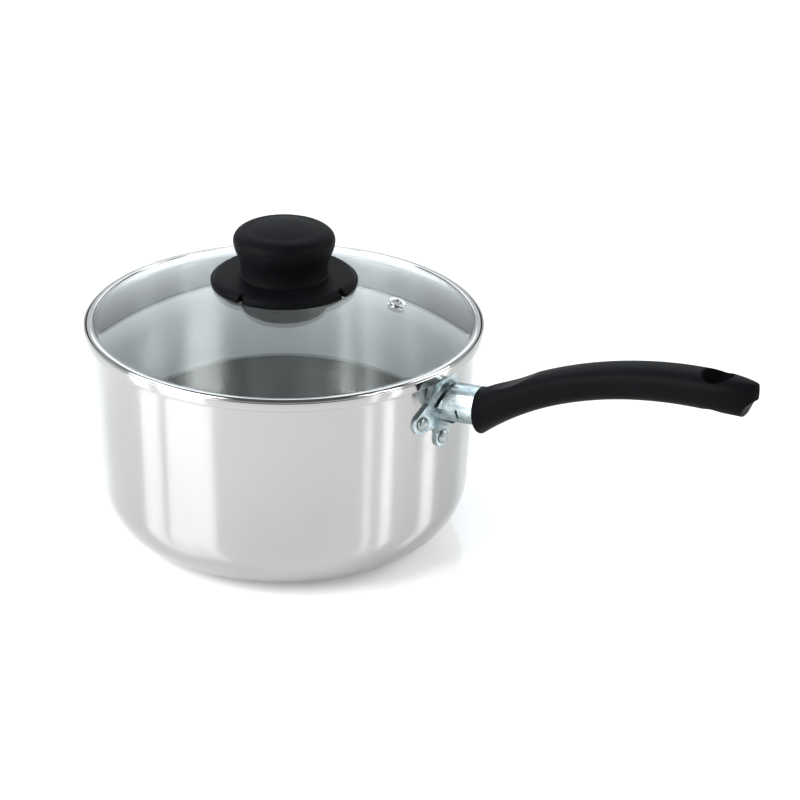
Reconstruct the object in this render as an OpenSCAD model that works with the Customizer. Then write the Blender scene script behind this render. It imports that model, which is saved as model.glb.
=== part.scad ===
// Saucepan with a riveted stick handle and a domed glass lid.
// The origin is the centre of the base's underside, +Z is up, and the handle runs along +X.

/* [Pan] */
// Inside radius of the pan at its top
pan_inner_r = 90; // [85:0.5:95]
// Thickness of the drawn wall
wall_t = 1.5; // [1.2:0.1:2.0]
// Thickness of the base
base_t = 2.2; // [1.8:0.1:3.0]
// Height of the ledge that the lid sits on, measured to its underside
ledge_z = 101; // [95:0.5:110]
// Thickness of the ledge
ledge_t = 1.3; // [1.0:0.1:1.6]
// Height of the lip above the ledge's underside
lip_h = 4.4; // [4.0:0.1:6.0]
// Thickness of the lip
lip_t = 1.0; // [0.8:0.1:1.2]
// How far the lip stands out from the wall
lip_out = 3.5; // [3.3:0.1:4.0]
// Draft of the wall, in degrees
draft = 2.03; // [1:0.01:3]
// Outer radius of the round between base and wall
corner_r = 26.8; // [20:0.1:30]

/* [Bracket] */
// Thickness of the bracket's pressed sheet
sheet_t = 1.4; // [1.2:0.1:1.6]
// Outside diameter of the bracket's tube
tube_d = 18.4; // [17.5:0.1:19]
// Length of the tube, from the wall to the grip's shoulder
tube_len = 21.7; // [21:0.1:21.7]
// Upward tilt of the tube, in degrees
tube_tilt = 8.5; // [5:0.1:10]
// Height at which the tube's axis meets the wall
tube_z = 88.1; // [87:0.1:89]
// Width of the slit across the tube's upper half
slit_w = 1.8; // [1.2:0.1:2.2]
// Distance of the slit's ends from the wall, along the tube
slit_s = 1.2; // [0.8:0.1:2]
// Lean of the slit away from the wall, in degrees
slit_lean = 28; // [10:1:32]
// How far the collar flares out where it meets the wall
flare = 3.4; // [2:0.1:4]
// Height of the two side rivets
side_rivet_z = 81.8; // [81:0.1:82.4]
// Angle of each side rivet from the handle, in degrees
side_rivet_az = 9.9; // [9:0.1:10.4]
// Height of the lower rivet
low_rivet_z = 69.8; // [67:0.1:70.5]
// Radius of the rivets' shanks
rivet_r = 2.0; // [1.8:0.1:2.2]

/* [Grip] */
// Radius of the arc that the grip's centre line follows
grip_arc_r = 217.5; // [210:0.5:225]
// Distance from the pan's axis to the centre of that arc
grip_arc_x = 244.1; // [240:0.1:248]
// Height of the centre of that arc, below the base
grip_arc_drop = 84.7; // [80:0.1:90]
// Width of the grip at its middle
grip_w = 20; // [18:0.5:22]
// Height of the grip at its middle
grip_h = 15.6; // [14:0.1:17]
// Diameter of the grip's shoulder, where it meets the tube
shoulder_d = 20.2; // [19.8:0.1:21]
// Radius of the hanging hole
hang_r = 7.2; // [6:0.1:7.4]
// Radius of the eased mouth of the hanging hole
hang_mouth_r = 7.8; // [7.6:0.1:8]
// Distance of the hanging hole from the pan's axis
hang_x = 231; // [228:0.5:232]
// Depth of the thumb rest on top of the grip
thumb_depth = 1.5; // [0:0.1:2]
// Radius of the scoop across the grip's end
scoop_r = 11.4; // [10:0.1:13]
// Length over which the grip narrows to its rounded end
nose_len = 25.2; // [22:0.1:28]

/* [Lid] */
// Outside radius of the glass dome
dome_r = 202; // [195:1:220]
// Height of the top of the dome
dome_top_z = 127.4; // [127:0.1:128]
// Thickness of the glass
glass_t = 3.2; // [2.8:0.1:3.4]
// Radius of the glass at its edge
glass_r = 92.2; // [92:0.1:92.4]
// Clearance between the lid's band and the pan's lip
lid_gap = 0.3; // [0.2:0.05:0.5]
// Distance of the steam vent from the lid's axis
vent_r = 55; // [45:1:65]
// Angle of the steam vent from the handle, in degrees
vent_az = 21; // [0:1:359]

/* [Knob] */
// Radius of the knob's base plate
plate_r = 34.7; // [33:0.1:36]
// Radius of the knob's neck
neck_r = 20.7; // [18:0.1:22]
// Largest radius of the knob's head
head_r = 24.1; // [23:0.1:26]
// Height of the knob's top above the base plate
head_h = 24.8; // [23:0.1:25]
// Width of the four notches in the plate's rim
notch_w = 2; // [1.5:0.1:3]

/* [Hidden] */
$fn = 96;
wall_top_r = pan_inner_r + wall_t;
lip_r = wall_top_r + lip_out;
lip_in_r = lip_r - lip_t;
lip_top_z = ledge_z + lip_h;
seat_z = ledge_z + ledge_t;
floor_r = corner_r - wall_t;
dome_z = dome_top_z - dome_r;
inner_dome_r = dome_r - glass_t;
rim_flat_z = seat_z + 0.7;
band_r = lip_in_r - lid_gap;
plate_z = dome_top_z + 0.9;
tube_r = tube_d / 2;
bore_r = tube_r - sheet_t;
partition_s = 6.5;
partition_t = 2;
insert_s = 10.5;
insert_len = 14;
screw_hole_r = 2.7;
shank_r = 2.45;
brass_r = 4;
grip_z0 = -grip_arc_drop;
grip_start_a = 126.95;
grip_end_a = 88.38;
nose_power = 2.13;
thin_share = 0.03;
thin_h = 2.9;
thin_top = 0.51;
palm_w = -1.2;
palm_h = 0.9;
scoop_x = 256;
scoop_z = 123.9;
nose_share = nose_len / (grip_arc_r * (grip_start_a - grip_end_a) * PI / 180);
gasket_z = 123;
vent_tilt = asin(vent_r / dome_r);
vent_hole_r = 2.75;
black = [0.07, 0.07, 0.075];
steel = [0.62, 0.68, 0.7];

// The wall's outside radius at height z
function wall_r(z) = wall_top_r - (ledge_z - z) * tan(draft);
// The height of a dome of radius r at distance x from the lid's axis
function dome_h(x, r) = dome_z + sqrt(r * r - x * x);
// Points along an arc in the plane of a profile
function arc(cx, cy, r, a0, a1, n) =
    [for (i = [0:n]) let (a = a0 + (a1 - a0) * i / n) [cx + r * cos(a), cy + r * sin(a)]];
// The x of the centre of a corner of radius r that touches the wall line at radius top_r
function corner_x(top_r, r, zc) =
    top_r - (ledge_z - zc) * tan(draft) - r / cos(draft);
function clamp01(t) = min(1, max(0, t));
function smooth(t) = let (u = clamp01(t)) u * u * (3 - 2 * u);

module pan_profile() {
    inner_zc = base_t + floor_r;
    polygon(concat(
        [[0, 0]],
        arc(corner_x(wall_top_r, corner_r, corner_r), corner_r, corner_r, -90, -draft, 20),
        [[wall_top_r, ledge_z], [lip_r - 0.5, ledge_z]],
        arc(lip_r - 0.6, ledge_z + 0.6, 0.6, -60, 0, 4),
        arc(lip_r - lip_t / 2, lip_top_z - lip_t / 2, lip_t / 2, 0, 180, 10),
        [[lip_in_r, seat_z]],
        arc(pan_inner_r + 0.8, seat_z - 0.8, 0.8, 90, 180, 6),
        arc(corner_x(pan_inner_r, floor_r, inner_zc), inner_zc, floor_r, -draft, -90, 20),
        [[0, base_t]]));
}

// Places its children on the wall at azimuth az and height z, with +Z pointing outwards
module on_wall(az, z) {
    rotate([0, 0, az]) translate([wall_r(z), 0, z]) rotate([0, 90, 0]) children();
}

// Places its children at distance s along the tube's axis, with +Z along it
module on_tube(s) {
    translate([wall_top_r, 0, tube_z]) rotate([0, 90 - tube_tilt, 0]) translate([0, 0, s]) children();
}

module rivet_holes(r) {
    for (az = [-side_rivet_az, side_rivet_az])
        on_wall(az, side_rivet_z) translate([0, 0, -8]) cylinder(r = r, h = 16);
    on_wall(0, low_rivet_z) translate([0, 0, -8]) cylinder(r = r, h = 16);
}

module pan_body() {
    color([0.8, 0.8, 0.79]) difference() {
        rotate_extrude() pan_profile();
        rivet_holes(rivet_r + 0.05);
    }
}

// The space inside the wall's outer surface, grown by off
module wall_cone(off, z0, z1) {
    rotate_extrude() polygon([[0, z0], [wall_r(z0) + off, z0], [wall_r(z1) + off, z1], [0, z1]]);
}

// Outline of the wall plate, seen along the handle: collar, two side lugs and a lower tongue
module plate_outline() {
    lug_y = wall_r(side_rivet_z) * sin(side_rivet_az);
    polygon([[-9.4, ledge_z - 0.6], [-12, 91], [-lug_y - 3.2, 86.1], [-lug_y + 1, 76.6],
             [-5.2, 77], [5.2, 77], [lug_y - 1, 76.6], [lug_y + 3.2, 86.1], [12, 91],
             [9.4, ledge_z - 0.6]]);
    for (y = [-lug_y, lug_y]) translate([y, side_rivet_z]) circle(r = 5.4);
    translate([-5.2, low_rivet_z]) square([10.4, 14]);
    translate([0, low_rivet_z]) circle(r = 5.2);
}

// The plate starts inside the wall, and the bracket is trimmed to the wall afterwards
module wall_plate() {
    intersection() {
        wall_cone(sheet_t, 58, ledge_z - 0.4);
        translate([wall_top_r - 12, 0, 0]) rotate([90, 0, 90]) linear_extrude(20) plate_outline();
    }
}

// The tube with its partition, in one profile
module tube_blank() {
    rotate_extrude() polygon([[bore_r, -4], [tube_r, -4], [tube_r, tube_len], [bore_r, tube_len],
        [bore_r, partition_s + partition_t], [screw_hole_r, partition_s + partition_t],
        [screw_hole_r, partition_s], [bore_r, partition_s]]);
}

// The upper half's flare into the wall plate
module collar() {
    intersection() {
        on_tube(-2) rotate_extrude() polygon([[tube_r - 0.7, 0], [tube_r + flare, 0],
            [tube_r + flare, 3.2], [tube_r + flare * 0.5, 3.9], [tube_r + flare * 0.18, 5],
            [tube_r, 7.5], [tube_r - 0.7, 7.5]]);
        on_tube(-2) translate([-20, -15, 0]) cube([20, 30, 10]);
    }
}

module bracket_tube() {
    difference() {
        union() {
            on_tube(0) tube_blank();
            collar();
        }
        // Slit over the tube's upper half
        on_tube(slit_s) rotate([0, slit_lean, 0]) translate([-24, -15, 0]) cube([24, 30, slit_w]);
        // Staking slots, which lock the tube to the grip's spigot
        for (side = [-1, 1])
            on_tube(13) translate([2, side * tube_r, 0]) cube([4.5, 4.5, 1.2], center = true);
    }
}

// Bend from the tube's underside into the tongue
module tongue_bend() {
    translate([0, 5.2, 0]) rotate([90, 0, 0]) linear_extrude(10.4)
        polygon([[wall_r(74) - 3, 73], [wall_r(80) - 3, 80.5], [wall_top_r + 9, 80.8],
                 [wall_top_r + 3.4, 77.6], [wall_r(73) + sheet_t, 73]]);
}

module handle_bracket() {
    color(steel) difference() {
        union() {
            wall_plate();
            bracket_tube();
            tongue_bend();
        }
        wall_cone(0, 50, ledge_z + 10);
        rivet_holes(rivet_r + 0.05);
    }
}

// A rivet with a flat inner head, a shank and a domed outer head
module rivet(az, z) {
    inner_r = 4.2;
    outer_r = 3.4;
    color([0.72, 0.75, 0.76]) on_wall(az, z) rotate_extrude() polygon(concat(
        [[0, -wall_t - 1.6], [inner_r - 0.5, -wall_t - 1.6], [inner_r, -wall_t - 1.1],
         [inner_r, -wall_t - 0.35], [rivet_r, -wall_t - 0.35], [rivet_r, sheet_t + 0.15],
         [outer_r, sheet_t + 0.15]],
        [for (i = [1:6]) [outer_r * cos(15 * i), sheet_t + 0.35 + 1.7 * sin(15 * i)]]));
}

module rivet_left() rivet(-side_rivet_az, side_rivet_z);
module rivet_right() rivet(side_rivet_az, side_rivet_z);
module rivet_bottom() rivet(0, low_rivet_z);

// Share of the way along the grip, from its arc angle to its place on the centre line
function grip_a(t) = grip_start_a + (grip_end_a - grip_start_a) * t;
function grip_tilt(t) = tube_tilt + (grip_a(t) - 90 - tube_tilt) * smooth(t / 0.16);
// Rounding of the grip's end, seen from above
function grip_nose(t) =
    max(0.05, pow(1 - pow(clamp01(1 - (1 - t) / nose_share), nose_power), 1 / nose_power));
// How much the section thins in its last few millimetres
function grip_thin(t) = thin_h * pow(clamp01(1 - (1 - t) / thin_share), 3);
// How far the grip has swelled towards the palm
function grip_palm(t) = smooth((t - 0.45) / 0.4);
function grip_half_w(t) = grip_nose(t) * (grip_w
    + (shoulder_d - grip_w) * pow(1 - clamp01(t / 0.3), 2) + palm_w * grip_palm(t)) / 2;
function grip_half_h(t) = (grip_h + (shoulder_d * 0.92 - grip_h) * pow(1 - clamp01(t / 0.3), 2)
    + palm_h * grip_palm(t)) / 2 / cos(grip_a(t) - 90 - grip_tilt(t));
// Top and bottom of the section, with the thumb rest and the thinned end
function grip_top(t) = grip_half_h(t) - thin_top * grip_thin(t)
    - thumb_depth * sin(180 * clamp01((t - 0.05) / 0.21));
function grip_low(t) = grip_half_h(t) - (1 - thin_top) * grip_thin(t);
// One ring of the grip: a rounded section across the centre line
function grip_ring(t, n) = [for (i = [0:n - 1])
    let (a = 360 * i / n, p = 2 / (2 + 0.5 * smooth(t / 0.2)),
         u = grip_half_w(t) * sign(cos(a)) * pow(abs(cos(a)), p),
         v = max(-grip_low(t), min(grip_top(t), grip_half_h(t) * sign(sin(a)) * pow(abs(sin(a)), p))))
    [grip_arc_x + grip_arc_r * cos(grip_a(t)) - v * sin(grip_tilt(t)), u,
     grip_z0 + grip_arc_r * sin(grip_a(t)) + v * cos(grip_tilt(t))]];

module grip_sweep() {
    rings = 52;
    sides = 32;
    polyhedron(
        points = [for (k = [0:rings]) each grip_ring(k / rings, sides)],
        faces = concat(
            [[for (i = [0:sides - 1]) i]],
            [for (k = [0:rings - 1], i = [0:sides - 1]) let (j = (i + 1) % sides)
                [k * sides + i, (k + 1) * sides + i, (k + 1) * sides + j, k * sides + j]],
            [[for (i = [sides - 1:-1:0]) rings * sides + i]]));
}

module handle_grip() {
    hole_a = acos((hang_x - grip_arc_x) / grip_arc_r);
    mouth_z = (grip_h + palm_h) / 2 - (hang_mouth_r - hang_r);
    color(black) difference() {
        union() {
            grip_sweep();
            on_tube(partition_s + partition_t + 0.1)
                cylinder(r = bore_r - 0.08, h = tube_len - partition_s - partition_t + 3);
        }
        on_tube(0) cylinder(r = screw_hole_r, h = insert_s + insert_len + 6);
        on_tube(insert_s) cylinder(r = brass_r, h = insert_len);
        // Hanging hole and its eased mouths
        translate([hang_x, 0, grip_z0 + grip_arc_r * sin(hole_a)]) rotate([0, 90 - hole_a, 0]) {
            translate([0, 0, -15]) cylinder(r = hang_r, h = 30);
            for (side = [0, 180]) rotate([side, 0, 0]) translate([0, 0, mouth_z])
                cylinder(r1 = hang_r, r2 = hang_r + 3, h = 3);
        }
        // Scooped end
        translate([scoop_x, 0, scoop_z]) rotate([90, 0, 0])
            cylinder(r = scoop_r, h = 2 * grip_w, center = true);
    }
}

// A pan-head screw along +Z from the underside of its head, with a cross recess
module screw(shank_len, head_rad, head_ht) {
    difference() {
        union() {
            cylinder(r = shank_r, h = shank_len);
            translate([0, 0, -head_ht]) rotate_extrude() polygon([[0, 0], [head_rad * 0.7, 0],
                [head_rad, head_ht * 0.55], [head_rad, head_ht], [0, head_ht]]);
        }
        for (turn = [0, 90]) rotate([0, 0, turn])
            translate([-head_rad * 0.55, -0.5, -head_ht - 1]) cube([head_rad * 1.1, 1, 2.4]);
    }
}

module handle_screw() {
    color([0.7, 0.71, 0.72]) on_tube(partition_s - 1) screw(17, 4, 2.8);
}

module handle_washer() {
    color([0.66, 0.68, 0.7]) on_tube(partition_s - 1) difference() {
        cylinder(r = 5, h = 1);
        translate([0, 0, -1]) cylinder(r = screw_hole_r, h = 3);
    }
}

// A brass sleeve that is moulded into the phenolic, with two holding grooves
module brass_insert(len) {
    groove = 0.4;
    rotate_extrude() polygon([[shank_r + 0.02, 0], [brass_r - 0.02, 0], [brass_r - 0.02, len * 0.3],
        [brass_r - groove, len * 0.33], [brass_r - groove, len * 0.4], [brass_r - 0.02, len * 0.43],
        [brass_r - 0.02, len * 0.6], [brass_r - groove, len * 0.63], [brass_r - groove, len * 0.7],
        [brass_r - 0.02, len * 0.73], [brass_r - 0.02, len], [shank_r + 0.02, len]]);
}

module handle_insert() {
    color([0.78, 0.62, 0.3]) on_tube(insert_s) brass_insert(insert_len);
}

module on_vent(h) {
    translate([0, 0, dome_z]) rotate([0, 0, vent_az]) rotate([0, vent_tilt, 0])
        translate([0, 0, h]) children();
}

module lid_glass() {
    color([0.72, 0.84, 0.82, 0.35]) difference() {
        intersection() {
            translate([0, 0, dome_z]) sphere(r = dome_r, $fn = 96);
            translate([0, 0, rim_flat_z]) cylinder(r = glass_r, h = 40);
        }
        translate([0, 0, dome_z]) sphere(r = inner_dome_r, $fn = 96);
        translate([0, 0, rim_flat_z]) cylinder(r = 4, h = 40);
        on_vent(inner_dome_r - 10) cylinder(r = vent_hole_r, h = 20);
    }
}

module lid_rim_band() {
    edge_z = dome_h(glass_r, dome_r);
    color([0.75, 0.76, 0.77]) rotate_extrude() polygon(concat(
        [[89.7, seat_z], [band_r - 0.7, seat_z]],
        arc(band_r - 0.7, seat_z + 0.7, 0.7, -60, 0, 4),
        arc(band_r - 1.9, edge_z - 0.75, 1.9, 0, 90, 8),
        [[90.9, edge_z + 1.15], [90.5, dome_h(90.5, dome_r) + 0.02],
         [glass_r + 0.02, edge_z + 0.02], [glass_r + 0.02, rim_flat_z - 0.02],
         [89.7, rim_flat_z - 0.02]]));
}

module vent_eyelet() {
    flange_r = 4.25;
    flange_t = 0.7;
    bore = 2.0;
    top = dome_r + 0.04;
    low = inner_dome_r - 0.04;
    color([0.75, 0.76, 0.77]) on_vent(0) rotate_extrude() polygon([
        [bore, low - flange_t], [flange_r - 0.3, low - flange_t], [flange_r, low - 0.05],
        [vent_hole_r - 0.02, low - 0.05], [vent_hole_r - 0.02, top + 0.05],
        [flange_r, top + 0.05], [flange_r - 0.4, top + flange_t], [bore + 0.4, top + flange_t],
        [bore, top + flange_t - 0.3]]);
}

module knob_base() {
    under = [for (i = [0:10]) let (x = 4 + (plate_r - 4) * i / 10) [x, dome_h(x, dome_r) + 0.03]];
    color(black) difference() {
        rotate_extrude() polygon(concat(under,
            [[plate_r + 0.2, plate_z - 3.1], [plate_r - 0.2, plate_z - 2.1],
             [plate_r - 1.3, plate_z - 0.9], [plate_r - 3.4, plate_z - 0.1], [plate_r - 5, plate_z],
             [4, plate_z]]));
        // Notches in the plate's rim
        for (turn = [0:90:270]) rotate([0, 0, turn])
            translate([plate_r - 3.2, -notch_w / 2, plate_z - 6]) cube([6, notch_w, 8]);
    }
}

module knob_head() {
    belly_z = plate_z + 17.2;
    round_w = 8;
    round_h = 5.6;
    rim_z = belly_z + round_h;
    foot_z = plate_z + 4.5;
    color(black) difference() {
        rotate_extrude() polygon(concat(
            [[0, plate_z], [neck_r + 0.7, plate_z], [neck_r + 0.7, plate_z + 0.7],
             [neck_r, plate_z + 1]],
            [for (i = [0:12]) let (u = i / 12)
                [neck_r + (head_r - neck_r) * smooth(u), foot_z + (belly_z - foot_z) * u]],
            [for (i = [1:9]) let (a = 10 * i)
                [head_r - round_w * (1 - cos(a)), belly_z + round_h * sin(a)]],
            [for (i = [1:6]) let (u = 1 - i / 6)
                [(head_r - round_w) * u, rim_z + (plate_z + head_h - rim_z) * (1 - u * u)]]));
        translate([0, 0, plate_z - 1]) cylinder(r = screw_hole_r, h = 17);
        translate([0, 0, plate_z + 3]) cylinder(r = brass_r, h = 12);
    }
}

module knob_insert() {
    color([0.78, 0.62, 0.3]) translate([0, 0, plate_z + 3]) brass_insert(12);
}

module knob_screw() {
    color([0.7, 0.71, 0.72]) translate([0, 0, gasket_z - 1.2]) screw(20, 4.5, 3);
}

module knob_washer() {
    color([0.7, 0.71, 0.72]) translate([0, 0, gasket_z - 1.2]) difference() {
        cylinder(r = 8.5, h = 1.2);
        translate([0, 0, -1]) cylinder(r = screw_hole_r, h = 4);
    }
}

module knob_gasket() {
    color([0.85, 0.85, 0.83]) translate([0, 0, gasket_z]) difference() {
        cylinder(r = 9, h = 1);
        translate([0, 0, -1]) cylinder(r = screw_hole_r, h = 3);
    }
}

pan_body();
handle_bracket();
rivet_left();
rivet_right();
rivet_bottom();
handle_grip();
handle_screw();
handle_washer();
handle_insert();
lid_glass();
lid_rim_band();
vent_eyelet();
knob_base();
knob_head();
knob_insert();
knob_screw();
knob_washer();
knob_gasket();
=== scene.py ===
"""Looks of the saucepan with a glass lid: metal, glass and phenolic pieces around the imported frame."""

import math

import bmesh
import bpy
from mathutils import Matrix, Vector


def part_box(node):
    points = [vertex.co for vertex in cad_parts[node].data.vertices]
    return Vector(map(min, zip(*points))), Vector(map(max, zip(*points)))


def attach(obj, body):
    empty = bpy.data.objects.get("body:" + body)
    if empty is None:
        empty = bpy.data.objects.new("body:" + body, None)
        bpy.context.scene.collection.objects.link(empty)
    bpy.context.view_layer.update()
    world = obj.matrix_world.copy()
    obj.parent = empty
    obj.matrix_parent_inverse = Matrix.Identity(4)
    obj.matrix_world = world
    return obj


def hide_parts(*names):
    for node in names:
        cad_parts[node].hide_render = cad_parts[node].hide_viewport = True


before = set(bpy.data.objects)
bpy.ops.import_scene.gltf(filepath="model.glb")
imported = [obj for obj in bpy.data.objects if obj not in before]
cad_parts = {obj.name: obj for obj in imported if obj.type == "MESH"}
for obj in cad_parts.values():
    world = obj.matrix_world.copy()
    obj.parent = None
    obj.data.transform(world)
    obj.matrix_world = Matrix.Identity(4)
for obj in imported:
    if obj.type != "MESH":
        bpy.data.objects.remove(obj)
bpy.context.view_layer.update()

MM = 0.001
ORIGIN = Vector((0, 0, 0))
UP = Vector((0, 0, 1))


# ---------- Driving dimensions, in metres ----------

def span(node, axis):
    """Lowest and highest value of a CAD node along an axis."""
    low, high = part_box(node)
    return low[axis], high[axis]


PAN_LOW, PAN_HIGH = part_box("pan_body")
LIP_R = (PAN_HIGH[1] - PAN_LOW[1]) / 2
LIP_TOP = PAN_HIGH[2]
LIP_T = 1.0 * MM
LIP_H = 4.4 * MM
LEDGE_Z = LIP_TOP - LIP_H
SEAT_Z = LEDGE_Z + 1.3 * MM
WALL_T = 1.5 * MM
BASE_T = 2.2 * MM
WALL_R = LIP_R - 3.5 * MM
CORNER_R = 26.8 * MM
FLAT_R = 62 * MM
DRAFT = math.radians(2.03)

DOME_R = 202 * MM
GLASS_T = 3.2 * MM
GLASS_R = 92.2 * MM
DOME_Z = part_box("lid_glass")[1][2] - DOME_R
RIM_FLAT_Z = SEAT_Z + 0.7 * MM
BAND_R = LIP_R - LIP_T - 0.3 * MM
BAND_IN_R = 89.7 * MM
HOLE_R = 4 * MM
PLATE_Z = span("knob_base", 2)[1]
PLATE_R = (span("knob_base", 0)[1] - span("knob_base", 0)[0]) / 2 - 0.2 * MM
KNOB_TOP = span("knob_head", 2)[1]
HEAD_R = 24.1 * MM
NECK_R = 20.7 * MM
VENT_R = 55 * MM
VENT_AZ = math.radians(21)

SHEET_T = 1.4 * MM
TUBE_TILT = math.radians(8.5)
SIDE_RIVET_Z = 81.8 * MM
SIDE_RIVET_AZ = math.radians(9.9)
LOW_RIVET_Z = 69.8 * MM
RIVET_R = 2.0 * MM

ARC_R = 217.5 * MM
ARC_X = 244.1 * MM
ARC_Z = -84.7 * MM
ARC_START = math.radians(126.95)
ARC_END = math.radians(88.38)
NOSE_LEN = 25.2 * MM
NOSE_POWER = 2.13
NOSE_MIN = 0.02
BEND_SHARE = 0.16
SQUARENESS = 0.5
SQUARE_SHARE = 0.2
GRIP_W = 20 * MM
GRIP_H = 15.6 * MM
PALM_W = -1.2 * MM
PALM_H = 0.9 * MM
PALM_START = 0.45
PALM_SHARE = 0.4
SHOULDER_D = 20.2 * MM
SHOULDER_FLAT = 0.92
SHOULDER_SHARE = 0.3
THIN_SHARE = 0.03
THIN_H = 2.9 * MM
THIN_TOP = 0.51
HANG_X = 231 * MM
HANG_R = 7.2 * MM
MOUTH_R = 7.8 * MM
THUMB_DEPTH = 1.5 * MM
THUMB_START = 0.05
THUMB_SHARE = 0.21
SCOOP_R = 11.4 * MM
SCOOP_X = 256 * MM
SCOOP_Z = 123.9 * MM

VIEW_AZ = 37
FLOOR_GAP = 0.2 * MM


def wall_r(z):
    """Outside radius of the pan's wall at height z."""
    return WALL_R - (LEDGE_Z - z) * math.tan(DRAFT)


def dome_z(x, radius):
    """Height of a dome of this radius at distance x from the lid's axis."""
    return DOME_Z + math.sqrt(radius * radius - x * x)


def smooth(t):
    """Eases from 0 to 1 as t does, and stays flat outside that."""
    t = min(1.0, max(0.0, t))
    return t * t * (3 - 2 * t)


def arc(cx, cy, r, start, end, steps):
    """Points along an arc, with its angles in degrees."""
    turns = [math.radians(start + (end - start) * i / steps) for i in range(steps + 1)]
    return [(cx + r * math.cos(a), cy + r * math.sin(a)) for a in turns]


# ---------- Camera ----------

def make_camera():
    """A long lens looking down at the pan, with the handle towards the right."""
    azimuth = math.radians(VIEW_AZ)
    height = 607.1 * MM
    distance = 1144.1 * MM
    roll = math.radians(1.124)
    aim = Vector((46.07, 31.32, 63.31)) * MM
    data = bpy.data.cameras.new("camera")
    data.sensor_width = 36
    data.lens = 118.09
    data.clip_start = 0.05
    camera = bpy.data.objects.new("camera", data)
    bpy.context.collection.objects.link(camera)
    camera.location = (distance * math.sin(azimuth), -distance * math.cos(azimuth), height)
    look = (aim - camera.location).to_track_quat("-Z", "Y").to_matrix().to_4x4()
    camera.matrix_world = Matrix.Translation(camera.location) @ look @ Matrix.Rotation(roll, 4, "Z")
    bpy.context.scene.camera = camera


# ---------- Shader maths ----------

class Wire:
    """A shader value: arithmetic on it adds Math nodes."""

    def __init__(self, tree, socket):
        self.tree = tree
        self.socket = socket

    def math(self, operation, *others):
        node = self.tree.nodes.new("ShaderNodeMath")
        node.operation = operation
        for slot, value in zip(node.inputs, (self, *others)):
            join(self.tree, value, slot)
        return Wire(self.tree, node.outputs[0])

    def __add__(self, other):
        return self.math("ADD", other)

    def __sub__(self, other):
        return self.math("SUBTRACT", other)

    def __mul__(self, other):
        return self.math("MULTIPLY", other)

    def __rsub__(self, other):
        return self * -1 + other

    __radd__ = __add__
    __rmul__ = __mul__

    def limit(self, low, high):
        return self.math("MAXIMUM", low).math("MINIMUM", high)


def join(tree, value, slot):
    """Links a Wire to a socket, or sets the socket to a plain value."""
    if isinstance(value, Wire):
        tree.links.new(value.socket, slot)
    else:
        slot.default_value = value


class Finish:
    """A material under construction."""

    def __init__(self, name, **shader):
        self.material = bpy.data.materials.new(name)
        self.material.use_nodes = True
        self.tree = self.material.node_tree
        self.shader = self.tree.nodes["Principled BSDF"]
        self.set(**shader)

    def set(self, **values):
        """Sets or links the shader's own sockets, named with underscores."""
        for key, value in values.items():
            join(self.tree, value, self.shader.inputs[key.replace("_", " ")])

    def node(self, kind, settings=None, output=0, **values):
        """Any node by its type, with its settings, and its sockets' values or links."""
        node = self.tree.nodes.new("ShaderNode" + kind)
        for key, value in (settings or {}).items():
            setattr(node, key, value)
        for key, value in values.items():
            slot = node.inputs[int(key[1:])] if key[1:].isdigit() else node.inputs[key.replace("_", " ")]
            join(self.tree, value, slot)
        return Wire(self.tree, node.outputs[output])

    def place(self, scale=(1, 1, 1)):
        """Object coordinates, stretched."""
        coords = self.node("TexCoord", output=3)
        return self.node("Mapping", Vector=coords, Scale=scale)

    def parts(self, vector):
        """The three numbers of a vector."""
        node = self.tree.nodes.new("ShaderNodeSeparateXYZ")
        join(self.tree, vector, node.inputs[0])
        return [Wire(self.tree, out) for out in node.outputs]

    def noise(self, vector, scale, detail=3.0, rough=0.5):
        return self.node("TexNoise", Vector=vector, Scale=scale, Detail=detail, Roughness=rough)

    def blend(self, factor, first, second):
        """A colour between two others."""
        return self.node("Mix", {"data_type": "RGBA"}, 2, i0=factor, i6=first, i7=second)

    def bump(self, height, strength, distance):
        return self.node("Bump", Height=height, Strength=strength, Distance=distance)

    def around(self):
        """Angle about the Z axis in radians, then distance from it and height in metres."""
        x, y, z = self.parts(self.node("TexCoord", output=3))
        angle = y.math("ARCTAN2", x)
        radius = (x * x + y * y).math("SQRT")
        return angle, radius, z


# ---------- Finishes ----------

def polished_aluminium():
    """Drawn aluminium, polished on a lathe: hair lines run round it under a soft haze."""
    fin = Finish("polished_aluminium", Metallic=1.0, Anisotropic=0.9, Anisotropic_Rotation=0.25)
    angle, radius, z = fin.around()
    along = z + radius
    lines = fin.noise(fin.node("CombineXYZ", X=angle * 0.6, Y=along * 2600, Z=0.0), 1.0, 4.0, 0.65)
    haze = fin.noise(fin.place((1, 1, 0.6)), 22.0, 4.0, 0.55)
    scuffs = fin.noise(fin.node("CombineXYZ", X=angle * 5, Y=along * 900, Z=3.0), 1.0, 2.0, 0.5)
    fin.set(
        Base_Color=fin.blend(haze, (0.40, 0.40, 0.39, 1), (0.45, 0.45, 0.44, 1)),
        Roughness=(0.10 + haze * 0.04 + scuffs * 0.03).limit(0.08, 0.5),
        Normal=fin.bump(lines, 0.03, 0.00003),
    )
    return fin.material


def turned_aluminium():
    """The pan's inside, left with coarser turning marks."""
    fin = Finish("turned_aluminium", Metallic=1.0, Anisotropic=0.9, Anisotropic_Rotation=0.25)
    angle, radius, z = fin.around()
    along = z + radius
    lines = fin.noise(fin.node("CombineXYZ", X=angle * 0.5, Y=along * 1700, Z=0.0), 1.0, 5.0, 0.7)
    broad = fin.noise(fin.node("CombineXYZ", X=angle * 1.2, Y=along * 240, Z=5.0), 1.0, 3.0, 0.6)
    fin.set(
        Base_Color=fin.blend(broad, (0.46, 0.455, 0.45, 1), (0.57, 0.565, 0.56, 1)),
        Roughness=(0.15 + broad * 0.08 + lines * 0.04).limit(0.12, 0.6),
        Normal=fin.bump(lines, 0.08, 0.00005),
    )
    return fin.material


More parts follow.
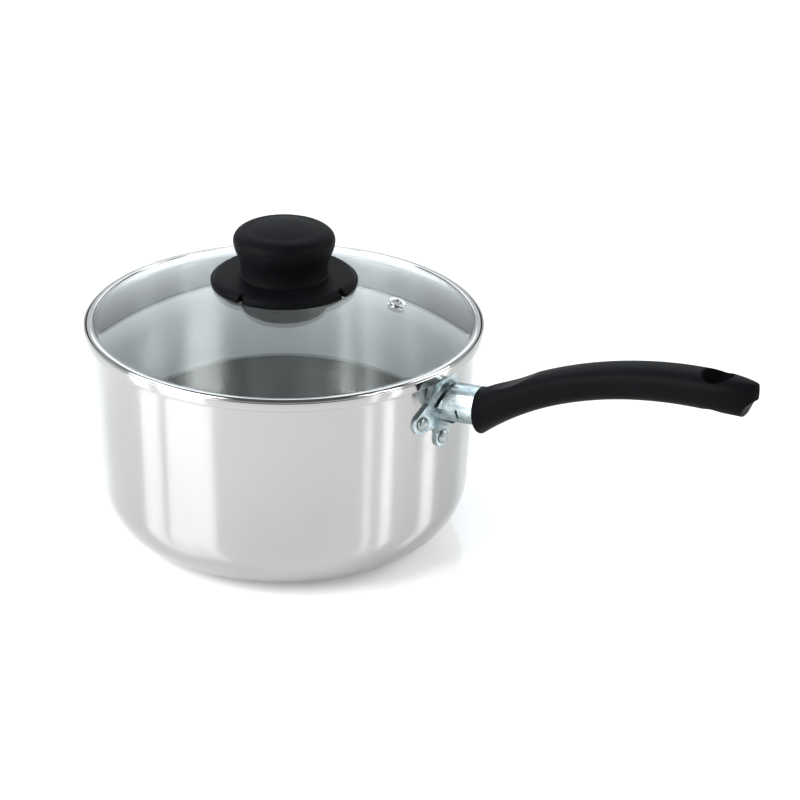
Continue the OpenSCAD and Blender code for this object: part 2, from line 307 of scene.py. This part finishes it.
def mirror_stainless():
    """Rolled stainless band, polished, with faint drawing lines."""
    fin = Finish("mirror_stainless", Metallic=1.0)
    angle, radius, z = fin.around()
    lines = fin.noise(fin.node("CombineXYZ", X=angle * 2.0, Y=(z - radius) * 3200, Z=0.0), 1.0, 3.0)
    smears = fin.noise(fin.place(), 60.0, 3.0)
    fin.set(
        Base_Color=fin.blend(smears, (0.42, 0.415, 0.41, 1), (0.52, 0.51, 0.50, 1)),
        Roughness=0.07 + smears * 0.08,
        Normal=fin.bump(lines, 0.06, 0.00005),
    )
    return fin.material


def zinc_steel():
    """Bright zinc plate on pressed steel: bluish, with spangle and drag marks, its colour painted in dark
    and bright patches as painted reflection and painted shade.
    """
    fin = Finish("zinc_steel", Metallic=1.0)
    cloud = fin.noise(fin.place(), 160.0, 5.0, 0.6)
    drag = fin.noise(fin.place((120, 900, 900)), 1.0, 4.0, 0.6)
    spangle = fin.node("TexVoronoi", {"feature": "F1"}, Vector=fin.place(), Scale=700.0)
    # Painted reflection and painted shade: noise patches and drag streaks swing the colour between dark
    # and bright.
    painted_reflection_mask = (cloud * 1.6 - 0.3 + (drag - 0.5) * 0.9).limit(0.0, 1.0)
    fin.set(
        Base_Color=fin.blend(painted_reflection_mask, (0.20, 0.27, 0.29, 1), (0.62, 0.70, 0.72, 1)),
        Roughness=(0.18 + drag * 0.16 + spangle * 0.08).limit(0.1, 0.6),
        Normal=fin.bump(drag * 0.7 + cloud * 0.6 + spangle * 0.2, 0.35, 0.00025),
    )
    return fin.material


def rivet_metal():
    """Upset rivet heads with hammer dimples, their colour painted in dark and bright patches as painted
    shade and painted highlight.
    """
    fin = Finish("rivet_metal", Metallic=1.0)
    dimples = fin.noise(fin.place(), 420.0, 3.0, 0.6)
    painted_shade_noise = fin.noise(fin.place(), 190.0, 4.0, 0.6)
    fin.set(
        # Painted shade and painted highlight: noise patches swing the colour from dark to bright.
        Base_Color=fin.blend(painted_shade_noise, (0.12, 0.145, 0.15, 1), (0.52, 0.56, 0.56, 1)),
        Roughness=(0.20 + painted_shade_noise * 0.2).limit(0.1, 0.6),
        Normal=fin.bump(dimples, 0.4, 0.0003),
    )
    return fin.material


def black_phenolic():
    """Compression-moulded phenolic: near black, satin, with a fine pebble and flow marks."""
    fin = Finish("black_phenolic", IOR=1.32, Specular_IOR_Level=0.08)
    pebble = fin.noise(fin.place(), 1500.0, 3.0, 0.6)
    flow = fin.noise(fin.place((1, 2.5, 2.5)), 28.0, 4.0, 0.55)
    fin.set(
        Base_Color=fin.blend(flow, (0.0024, 0.0025, 0.0032, 1), (0.0046, 0.0047, 0.0060, 1)),
        Roughness=(0.42 + flow * 0.10 + pebble * 0.06).limit(0.2, 0.7),
        Normal=fin.bump(pebble, 0.16, 0.00012),
    )
    return fin.material


def tempered_glass():
    """Clear glass with a blue-green body and a little surface ripple, which lets lamplight through."""
    fin = Finish("tempered_glass", IOR=1.5, Transmission_Weight=1.0)
    ripple = fin.noise(fin.place(), 14.0, 2.0)
    film = fin.noise(fin.place(), 45.0, 4.0, 0.6)
    fin.set(
        Base_Color=fin.blend(film, (0.90, 0.95, 0.95, 1), (0.93, 0.97, 0.97, 1)),
        Roughness=film * 0.012,
        Normal=fin.bump(ripple, 0.03, 0.0004),
    )
    shadow = fin.node("LightPath", output=1)
    clear = fin.node("BsdfTransparent", Color=(0.90, 0.955, 0.95, 1))
    body = Wire(fin.tree, fin.shader.outputs[0])
    out = fin.tree.nodes["Material Output"]
    join(fin.tree, fin.node("MixShader", i0=shadow, i1=body, i2=clear), out.inputs["Surface"])
    return fin.material


def screw_steel():
    """Zinc-plated fasteners with fine turning marks."""
    fin = Finish("screw_steel", Metallic=1.0)
    turned = fin.noise(fin.place((400, 400, 2600)), 1.0, 3.0)
    stain = fin.noise(fin.place(), 240.0, 3.0)
    fin.set(
        Base_Color=fin.blend(stain, (0.50, 0.52, 0.54, 1), (0.68, 0.69, 0.70, 1)),
        Roughness=0.24 + stain * 0.16,
        Normal=fin.bump(turned, 0.2, 0.0001),
    )
    return fin.material


def brass():
    """Free-cutting brass, dulled by the moulding heat."""
    fin = Finish("brass", Metallic=1.0)
    tarnish = fin.noise(fin.place(), 200.0, 4.0)
    turned = fin.noise(fin.place((500, 500, 2400)), 1.0, 2.0)
    fin.set(
        Base_Color=fin.blend(tarnish, (0.48, 0.33, 0.13, 1), (0.74, 0.56, 0.27, 1)),
        Roughness=0.26 + tarnish * 0.18,
        Normal=fin.bump(turned, 0.15, 0.0001),
    )
    return fin.material


def silicone():
    """Translucent white washer stock with a matt moulded face."""
    fin = Finish("silicone")
    cloud = fin.noise(fin.place(), 150.0, 3.0)
    grain = fin.noise(fin.place(), 1800.0, 2.0)
    fin.set(
        Base_Color=fin.blend(cloud, (0.72, 0.72, 0.70, 1), (0.82, 0.82, 0.80, 1)),
        Roughness=0.5 + cloud * 0.15,
        Normal=fin.bump(grain, 0.2, 0.0001),
    )
    return fin.material


# ---------- Building pieces ----------

def finish_piece(name, bm, material, body, slot, *nodes):
    """Turns a bmesh into a piece of the object that stands for the given CAD nodes."""
    mesh = bpy.data.meshes.new(name)
    bm.to_mesh(mesh)
    bm.free()
    piece = bpy.data.objects.new(name, mesh)
    bpy.context.collection.objects.link(piece)
    for finish in material if isinstance(material, tuple) else (material,):
        mesh.materials.append(finish)
    for face in mesh.polygons:
        face.use_smooth = True
    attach(piece, body)
    if nodes:
        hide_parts(*nodes)
    return piece


def merge(bm):
    """Joins points that lie on each other, and turns every face outwards."""
    bmesh.ops.remove_doubles(bm, verts=bm.verts, dist=0.001 * MM)
    bmesh.ops.recalc_face_normals(bm, faces=bm.faces)


def crease(bm, degrees):
    """Marks the edges sharper than this, so that smooth shading stops at them."""
    limit = math.radians(degrees)
    for edge in bm.edges:
        if len(edge.link_faces) == 2 and edge.calc_face_angle() > limit:
            edge.smooth = False


def lathe(outline, steps, closed=True):
    """Spins an outline of (radius, height) points about the Z axis."""
    bm = bmesh.new()
    verts = [bm.verts.new((r, 0, z)) for r, z in outline]
    pairs = zip(verts, verts[1:] + verts[:1]) if closed else zip(verts, verts[1:])
    edges = [bm.edges.new(pair) for pair in pairs]
    bmesh.ops.spin(bm, geom=verts + edges, cent=ORIGIN, axis=UP, angle=math.tau, steps=steps,
                   use_merge=True, use_duplicate=False)
    merge(bm)
    loose = [e for e in bm.edges if not e.link_faces]
    bmesh.ops.delete(bm, geom=loose, context="EDGES")
    return bm


def turn(bm, matrix):
    bmesh.ops.transform(bm, matrix=matrix, verts=bm.verts)


# ---------- Pan ----------

def corner_x(top_r, r, zc):
    """Where the centre of a corner of radius r lies, so that it meets the drafted wall."""
    return top_r - (LEDGE_Z - zc) * math.tan(DRAFT) - r / math.cos(DRAFT)


def pan_outline():
    """Outer and inner lines of the pan, from the middle of its underside to the inside floor."""
    draft = math.degrees(DRAFT)
    lip_in = LIP_R - LIP_T
    inner_r = CORNER_R - WALL_T
    inner_zc = BASE_T + inner_r
    inner_top = WALL_R - WALL_T
    flat = [FLAT_R * i / 8 for i in range(8)]
    outside = [(r, 0.0) for r in flat]
    outside += arc(corner_x(WALL_R, CORNER_R, CORNER_R), CORNER_R, CORNER_R, -90, -draft, 28)
    outside += [(wall_r(z * MM), z * MM) for z in range(32, 100, 6)]
    outside += arc(WALL_R + 0.55 * MM, LEDGE_Z - 0.45 * MM, 0.5 * MM, 175, 90, 5)
    outside += arc(LIP_R - 0.7 * MM, LEDGE_Z + 0.72 * MM, 0.7 * MM, -80, 0, 6)
    outside += arc(LIP_R - LIP_T / 2, LIP_TOP - LIP_T / 2, LIP_T / 2, 0, 180, 10)
    inside = [(lip_in, SEAT_Z + 0.4 * MM)]
    inside += arc(lip_in - 0.4 * MM, SEAT_Z + 0.4 * MM, 0.4 * MM, -20, -90, 4)
    inside += arc(inner_top + 0.8 * MM, SEAT_Z - 0.8 * MM, 0.8 * MM, 90, 180, 6)
    inside += [(wall_r(z * MM) - WALL_T, z * MM) for z in range(98, 30, -6)]
    inside += arc(corner_x(inner_top, inner_r, inner_zc), inner_zc, inner_r, -draft, -90, 28)
    inside += [(r, BASE_T) for r in reversed(flat)]
    return outside, inside


def pan():
    outside, inside = pan_outline()
    bm = lathe(outside + inside, 224, closed=False)
    for face in bm.faces:
        centre = face.calc_center_median()
        flat = Vector((centre.x, centre.y, 0))
        inward = face.normal.dot(flat) < 0 or (face.normal.z > 0.5 and centre.z < LEDGE_Z)
        face.material_index = 1 if inward and centre.z < SEAT_Z + 0.1 * MM else 0
    crease(bm, 50)
    materials = (polished_aluminium(), turned_aluminium())
    return finish_piece("pan_shell", bm, materials, "pan", "pan_aluminium", "pan_body")


# ---------- Lid ----------

def glass():
    """The dome, drilled for the knob, with a ground edge."""
    inner = DOME_R - GLASS_T
    flat_r = math.sqrt(inner ** 2 - (RIM_FLAT_Z - DOME_Z) ** 2)
    rows = 40
    ground = 0.5 * MM
    top = [HOLE_R + (GLASS_R - ground - HOLE_R) * i / rows for i in range(rows + 1)]
    low = [flat_r + (HOLE_R - flat_r) * i / rows for i in range(rows + 1)]
    outline = [(r, dome_z(r, DOME_R)) for r in top]
    outline += [(GLASS_R, dome_z(GLASS_R, DOME_R) - 0.4 * MM), (GLASS_R, RIM_FLAT_Z)]
    outline += [(r, dome_z(r, inner)) for r in low]
    bm = lathe(outline, 160)
    crease(bm, 40)
    return finish_piece("dome_glass", bm, tempered_glass(), "lid", "lid_glass", "lid_glass")


def rim_band(steel):
    """The steel band rolled over the glass's edge."""
    edge_z = dome_z(GLASS_R, DOME_R)
    gap = 0.02 * MM
    foot = 0.7 * MM
    roll = 1.9 * MM
    bead = 0.4 * MM
    bead_r = 91.0 * MM
    lap_r = bead_r - 0.5 * MM
    outline = [(BAND_IN_R, SEAT_Z), (BAND_R - foot, SEAT_Z)]
    outline += arc(BAND_R - foot, SEAT_Z + foot, foot, -70, 0, 5)
    outline += arc(BAND_R - roll, edge_z - 0.75 * MM, roll, 0, 90, 12)
    outline += arc(bead_r, edge_z + 0.75 * MM, bead, 100, 200, 5)
    outline += [(lap_r, dome_z(lap_r, DOME_R) + gap), (GLASS_R + gap, edge_z + gap)]
    outline += [(GLASS_R + gap, RIM_FLAT_Z - gap), (BAND_IN_R, RIM_FLAT_Z - gap)]
    bm = lathe(outline, 224)
    crease(bm, 50)
    return finish_piece("rim_band", bm, steel, "lid", "band_stainless", "lid_rim_band")


def eyelet(steel):
    """A hollow rivet through the glass, with a rolled flange on each side."""
    bore = 2.0 * MM
    wide = 4.25 * MM
    shank = 2.73 * MM
    top = DOME_R + 0.04 * MM
    low = DOME_R - GLASS_T - 0.04 * MM
    outline = [(bore, low - 0.5 * MM)]
    outline += arc(wide - 0.35 * MM, low - 0.35 * MM, 0.33 * MM, -90, 90, 6)
    outline += [(shank, low), (shank, top)]
    outline += arc(wide - 0.36 * MM, top + 0.36 * MM, 0.34 * MM, -80, 110, 8)
    outline += arc(bore + 0.5 * MM, top + 0.15 * MM, 0.5 * MM, 90, 180, 6)
    bm = lathe(outline, 48)
    tilt = math.asin(VENT_R / DOME_R)
    turn(bm, Matrix.Translation((0, 0, DOME_Z)) @ Matrix.Rotation(VENT_AZ, 4, "Z")
         @ Matrix.Rotation(tilt, 4, "Y"))
    crease(bm, 50)
    return finish_piece("vent_eyelet_ring", bm, steel, "lid", "band_stainless", "vent_eyelet")


def knob_plate(black):
    """The heat guard under the knob, with four notches in its rim."""
    edge = PLATE_R
    under = [HOLE_R + (edge - HOLE_R) * i / 12 for i in range(13)]
    outline = [(r, dome_z(r, DOME_R) + 0.03 * MM) for r in under]
    rim_z = PLATE_Z - 2.9 * MM
    corner = 3.4 * MM
    outline += [(edge + 0.2 * MM, rim_z), (edge + 0.05 * MM, rim_z + 0.6 * MM)]
    outline += arc(edge - corner - 0.5 * MM, PLATE_Z - corner, corner, 18, 78, 8)
    outline += [(edge - 5 * MM, PLATE_Z), (NECK_R + 1 * MM, PLATE_Z), (HOLE_R, PLATE_Z)]
    bm = lathe(outline, 256)
    half = 1.0 * MM
    deep = edge - 3.2 * MM
    for vert in bm.verts:
        r = math.hypot(vert.co.x, vert.co.y)
        if r <= deep:
            continue
        for quarter in range(4):
            axis = Matrix.Rotation(quarter * math.pi / 2, 3, "Z") @ Vector((1, 0, 0))
            across = abs(axis.cross(vert.co).z)
            if axis.dot(vert.co) > 0 and across < half:
                vert.co.x *= deep / r
                vert.co.y *= deep / r
    merge(bm)
    crease(bm, 50)
    return finish_piece("knob_plate", bm, black, "lid", "black_phenolic", "knob_base")


def knob(black):
    """The knob: foot ring, neck, flare, rounded shoulder and low crown."""
    belly = PLATE_Z + 17.2 * MM
    foot = PLATE_Z + 4.5 * MM
    round_w = 8 * MM
    round_h = 5.6 * MM
    rim = HEAD_R - round_w
    ring = NECK_R + 0.7 * MM
    outline = [(0.0, PLATE_Z), (ring, PLATE_Z)]
    ring_edge = 0.25 * MM
    outline += arc(ring - ring_edge, PLATE_Z + 0.45 * MM, ring_edge, 0, 90, 4)
    outline += [(NECK_R + 0.2 * MM, PLATE_Z + 0.75 * MM), (NECK_R, PLATE_Z + 1 * MM)]
    outline += [(NECK_R + (HEAD_R - NECK_R) * smooth(i / 20), foot + (belly - foot) * i / 20)
                for i in range(21)]
    outline += [(rim + round_w * math.cos(a), belly + round_h * math.sin(a))
                for a in (math.radians(5 * i) for i in range(1, 18))]
    rise = KNOB_TOP - belly - round_h
    outline += [(rim * (1 - i / 10), belly + round_h + rise * (1 - (1 - i / 10) ** 2))
                for i in range(0, 11)]
    bm = lathe(outline, 160, closed=False)
    crease(bm, 60)
    return finish_piece("knob_grip", bm, black, "lid", "black_phenolic", "knob_head")


# ---------- Handle ----------

def arc_angle(t):
    """Angle on the grip's arc at a share t of the way along it."""
    return ARC_START + (ARC_END - ARC_START) * t


def grip_tilt(t):
    """Slope of the grip, which leaves the tube straight and then follows the arc."""
    return TUBE_TILT + (arc_angle(t) - math.pi / 2 - TUBE_TILT) * smooth(t / BEND_SHARE)


def grip_size(t):
    """Half width, top and bottom of the grip's section, a share t of the way along it."""
    start = (1 - min(1, t / SHOULDER_SHARE)) ** 2
    palm = smooth((t - PALM_START) / PALM_SHARE)
    from_end = (1 - t) * (ARC_START - ARC_END) * ARC_R
    blunt = max(0.0, 1 - from_end / NOSE_LEN) ** NOSE_POWER
    nose = max(NOSE_MIN, (1 - blunt) ** (1 / NOSE_POWER))
    width = nose * (GRIP_W + (SHOULDER_D - GRIP_W) * start + PALM_W * palm)
    height = GRIP_H + (SHOULDER_D * SHOULDER_FLAT - GRIP_H) * start + PALM_H * palm
    half = height / 2 / math.cos(arc_angle(t) - math.pi / 2 - grip_tilt(t))
    thumb = THUMB_DEPTH * math.sin(math.pi * min(1.0, max(0.0, (t - THUMB_START) / THUMB_SHARE)))
    thin = THIN_H * max(0.0, (t - 1 + THIN_SHARE) / THIN_SHARE) ** 3
    return width / 2, half, half - THIN_TOP * thin - thumb, half - (1 - THIN_TOP) * thin


def grip_point(t, a):
    """A point of the grip's skin at share t and angle a round its section."""
    half_w, half, top, low = grip_size(t)
    power = 2 / (2 + SQUARENESS * smooth(t / SQUARE_SHARE))
    u = half_w * math.copysign(abs(math.cos(a)) ** power, math.cos(a))
    v = half * math.copysign(abs(math.sin(a)) ** power, math.sin(a))
    v = max(-low, min(top, v))
    tilt = grip_tilt(t)
    x = ARC_X + ARC_R * math.cos(arc_angle(t)) - v * math.sin(tilt)
    z = ARC_Z + ARC_R * math.sin(arc_angle(t)) + v * math.cos(tilt)
    return Vector((x, u, z))


def grip(black):
    """The grip, extruded ring by ring along its arc and then cut."""
    bm = bmesh.new()
    sides = 72
    rings = 150
    ring = bmesh.ops.create_circle(bm, cap_ends=True, segments=sides, radius=1)["verts"]
    angles = [math.tau * i / sides for i in range(sides)]
    for vert, a in zip(ring, angles):
        vert.co = grip_point(0, a)
    for k in range(1, rings + 1):
        near = {e for v in ring for e in v.link_edges}
        edges = [e for e in near if all(v in ring for v in e.verts)]
        made = bmesh.ops.extrude_edge_only(bm, edges=edges)["geom"]
        old = ring
        new = [g for g in made if isinstance(g, bmesh.types.BMVert)]
        partner = {}
        for vert in new:
            for edge in vert.link_edges:
                other = edge.other_vert(vert)
                if other in old:
                    partner[other] = vert
        ring = [partner[v] for v in old]
        for vert, a in zip(ring, angles):
            vert.co = grip_point(k / rings, a)
    bm.faces.new(ring)
    bmesh.ops.recalc_face_normals(bm, faces=bm.faces)
    piece = finish_piece("grip_skin", bm, black, "pan", "black_phenolic", "handle_grip")
    carve(piece, hanging_cutter(), end_cutter())
    return piece


def hanging_cutter():
    """The hanging hole with a dished mouth on each side."""
    a = math.acos((HANG_X - ARC_X) / ARC_R)
    dish = GRIP_H / 2 + 0.45 * MM - (MOUTH_R - HANG_R)
    wide = HANG_R + 3 * MM
    top = dish + 3 * MM
    reach = 14 * MM
    outline = [(0, -reach), (wide, -reach), (wide, -top), (HANG_R, -dish)]
    outline += [(HANG_R, dish), (wide, top), (wide, reach), (0, reach)]
    bm = lathe(outline, 64, closed=False)
    turn(bm, Matrix.Translation((HANG_X, 0, ARC_Z + ARC_R * math.sin(a)))
         @ Matrix.Rotation(math.pi / 2 - a, 4, "Y"))
    return bm


def end_cutter():
    """The round scoop across the grip's end."""
    bm = bmesh.new()
    bmesh.ops.create_cone(bm, cap_ends=True, segments=128, radius1=SCOOP_R, radius2=SCOOP_R,
                          depth=60 * MM)
    turn(bm, Matrix.Translation((SCOOP_X, 0, SCOOP_Z)) @ Matrix.Rotation(math.pi / 2, 4, "X"))
    return bm


def carve(piece, *cutters):
    """Cuts the cutters out of the piece, then softens the new edges."""
    tools = []
    for index, bm in enumerate(cutters):
        mesh = bpy.data.meshes.new(f"cutter_{index}")
        bmesh.ops.recalc_face_normals(bm, faces=bm.faces)
        bm.to_mesh(mesh)
        bm.free()
        tool = bpy.data.objects.new(f"cutter_{index}", mesh)
        bpy.context.collection.objects.link(tool)
        cut = piece.modifiers.new(f"cut_{index}", "BOOLEAN")
        cut.operation = "DIFFERENCE"
        cut.solver = "EXACT"
        cut.object = tool
        tools.append(tool)
    depsgraph = bpy.context.evaluated_depsgraph_get()
    shaped = bpy.data.meshes.new_from_object(piece.evaluated_get(depsgraph))
    piece.modifiers.clear()
    old = piece.data
    piece.data = shaped
    bpy.data.meshes.remove(old)
    for tool in tools:
        bpy.data.objects.remove(tool)
    bm = bmesh.new()
    bm.from_mesh(shaped)
    bmesh.ops.remove_doubles(bm, verts=bm.verts, dist=5e-6)
    sharp = [e for e in bm.edges if len(e.link_faces) == 2 and e.calc_face_angle() > math.radians(28)]
    bmesh.ops.bevel(bm, geom=sharp, offset=0.5 * MM, affect="EDGES", segments=3, profile=0.5,
                    material=-1, clamp_overlap=True)
    crease(bm, 45)
    bm.to_mesh(shaped)
    bm.free()
    for face in shaped.polygons:
        face.use_smooth = True


def rivet(name, metal, az, z, node):
    """A rivet: flat inner head, shank and domed outer head."""
    inner = 4.2 * MM
    outer = 3.4 * MM
    side = 0.2 * MM
    dome = 1.7 * MM
    back = -WALL_T
    face = SHEET_T + 0.15 * MM
    outline = [(0, back - 1.6 * MM)]
    outline += arc(inner - 0.5 * MM, back - 1.1 * MM, 0.5 * MM, -90, 0, 5)
    outline += [(inner, back - 0.35 * MM), (RIVET_R, back - 0.35 * MM), (RIVET_R, face), (outer, face)]
    outline += [(outer * math.cos(math.radians(a)), face + side + dome * math.sin(math.radians(a)))
                for a in range(5, 90, 12)]
    outline += [(0, face + side + dome)]
    bm = lathe(outline, 40, closed=False)
    turn(bm, Matrix.Rotation(az, 4, "Z") @ Matrix.Translation((wall_r(z), 0, z))
         @ Matrix.Rotation(math.pi / 2, 4, "Y"))
    crease(bm, 50)
    return finish_piece(name, bm, metal, "pan", "rivet_metal", node)


def dress_cad_nodes(finishes):
    """Gives the CAD nodes that stay their materials."""
    for node, material in finishes.items():
        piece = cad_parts[node]
        piece.data.materials.clear()
        piece.data.materials.append(material)


# ---------- Stage ----------

def floor():
    """A plain pale floor, just below the pan's base."""
    bm = bmesh.new()
    bmesh.ops.create_grid(bm, x_segments=1, y_segments=1, size=6)
    mesh = bpy.data.meshes.new("floor")
    bm.to_mesh(mesh)
    bm.free()
    piece = bpy.data.objects.new("floor", mesh)
    bpy.context.collection.objects.link(piece)
    piece.location.z = -FLOOR_GAP
    fin = Finish("floor_white", Base_Color=(0.90, 0.90, 0.90, 1), Roughness=0.12,
                 Emission_Color=(1, 1, 1, 1), Emission_Strength=0.16)
    mesh.materials.append(fin.material)


def softbox(name, azimuth, elevation, distance, width, height, power):
    """A soft lamp on a stand, pointing at the middle of the pan."""
    aim = Vector((0, 0, 60 * MM))
    data = bpy.data.lights.new(name, "AREA")
    data.shape = "RECTANGLE"
    data.size = width
    data.size_y = height
    data.energy = power
    lamp = bpy.data.objects.new(name, data)
    bpy.context.collection.objects.link(lamp)
    a = math.radians(azimuth)
    e = math.radians(elevation)
    lamp.location = Vector((math.sin(a) * math.cos(e), -math.cos(a) * math.cos(e), math.sin(e))) * distance
    lamp.rotation_euler = (aim - lamp.location).to_track_quat("-Z", "Y").to_euler()
    return lamp


def sky():
    """A plain studio surround, bright near the horizon and darker overhead."""
    world = bpy.data.worlds.new("studio")
    world.use_nodes = True
    tree = world.node_tree
    coords = tree.nodes.new("ShaderNodeTexCoord")
    split = tree.nodes.new("ShaderNodeSeparateXYZ")
    tree.links.new(coords.outputs["Generated"], split.inputs[0])
    up = Wire(tree, split.outputs[2])
    glow = ((0.62 - up) * 2.6).limit(0.15, 0.62)
    back = tree.nodes["Background"]
    back.inputs["Color"].default_value = (0.96, 0.985, 1, 1)
    join(tree, glow, back.inputs["Strength"])
    return world


def studio():
    """Lamps to the left, right and back of the camera's line of sight."""
    scene = bpy.context.scene
    scene.view_settings.view_transform = "Standard"
    scene.world = sky()
    softbox("key_left", VIEW_AZ - 58.5, 32, 1.6, 0.80, 1.3, 28)
    softbox("strip_left", VIEW_AZ - 86.5, 30, 1.6, 0.38, 1.2, 12)
    softbox("strip_right", VIEW_AZ + 50.5, 30, 1.6, 0.12, 1.1, 2.4)
    softbox("strip_right_two", VIEW_AZ + 63.8, 30, 1.6, 0.17, 1.1, 5.5)
    softbox("strip_far_right", VIEW_AZ + 97.5, 30, 1.6, 0.28, 1.1, 9)
    back = softbox("back_panel", VIEW_AZ + 180, 47, 1.7, 2.5, 1.15, 18)
    back.data.color = (0.88, 0.95, 1.0)
    low = softbox("back_low", VIEW_AZ + 180, 13, 1.7, 3.2, 0.85, 3)
    low.data.color = (0.85, 0.94, 1.0)


make_camera()
studio()
floor()
pan()
glass()
band_steel = mirror_stainless()
rim_band(band_steel)
eyelet(band_steel)
phenolic = black_phenolic()
knob_plate(phenolic)
knob(phenolic)
grip(phenolic)
rivet_finish = rivet_metal()
rivet("rivet_head_left", rivet_finish, -SIDE_RIVET_AZ, SIDE_RIVET_Z, "rivet_left")
rivet("rivet_head_right", rivet_finish, SIDE_RIVET_AZ, SIDE_RIVET_Z, "rivet_right")
rivet("rivet_head_bottom", rivet_finish, 0.0, LOW_RIVET_Z, "rivet_bottom")
fastener_steel = screw_steel()
moulded_brass = brass()
dress_cad_nodes({
    "handle_bracket": zinc_steel(),
    "handle_screw": fastener_steel,
    "handle_washer": fastener_steel,
    "handle_insert": moulded_brass,
    "knob_insert": moulded_brass,
    "knob_screw": fastener_steel,
    "knob_washer": fastener_steel,
    "knob_gasket": silicone(),
})
